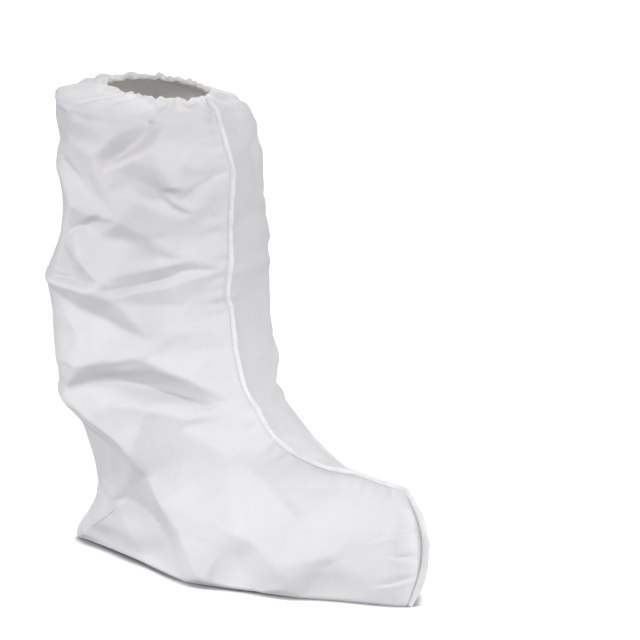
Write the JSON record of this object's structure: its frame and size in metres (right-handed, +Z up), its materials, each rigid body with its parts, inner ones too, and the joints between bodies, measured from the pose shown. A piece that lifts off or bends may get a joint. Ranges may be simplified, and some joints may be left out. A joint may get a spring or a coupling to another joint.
{
  "type": "tall boot-style shoe cover",
  "caption": "Tall white nonwoven overshoe with a gathered elastic hem and a standing seam down the shin, over the foot and round the toe.",
  "frame": {"origin": "centre of the footprint on the floor, under the sole", "axes": "+X to the toe, +Y to the wearer's left, +Z up the leg"},
  "size_m": [0.4076, 0.2023, 0.4556],
  "materials": {
    "panel_cloth": "smooth white nonwoven film laminate, matt with a faint sheen, fine embossed point bonds and sharp paper-like creases",
    "seam_cloth": "two layers of the same cloth, edge-stitched in white thread",
    "hem_cloth": "the same cloth folded over an elastic and gathered"
  },
  "bodies": {
    "root": {"right_panel": "panel_cloth", "left_panel": "panel_cloth", "front_seam": "seam_cloth", "top_hem": "hem_cloth"}
  },
  "joints": []
}
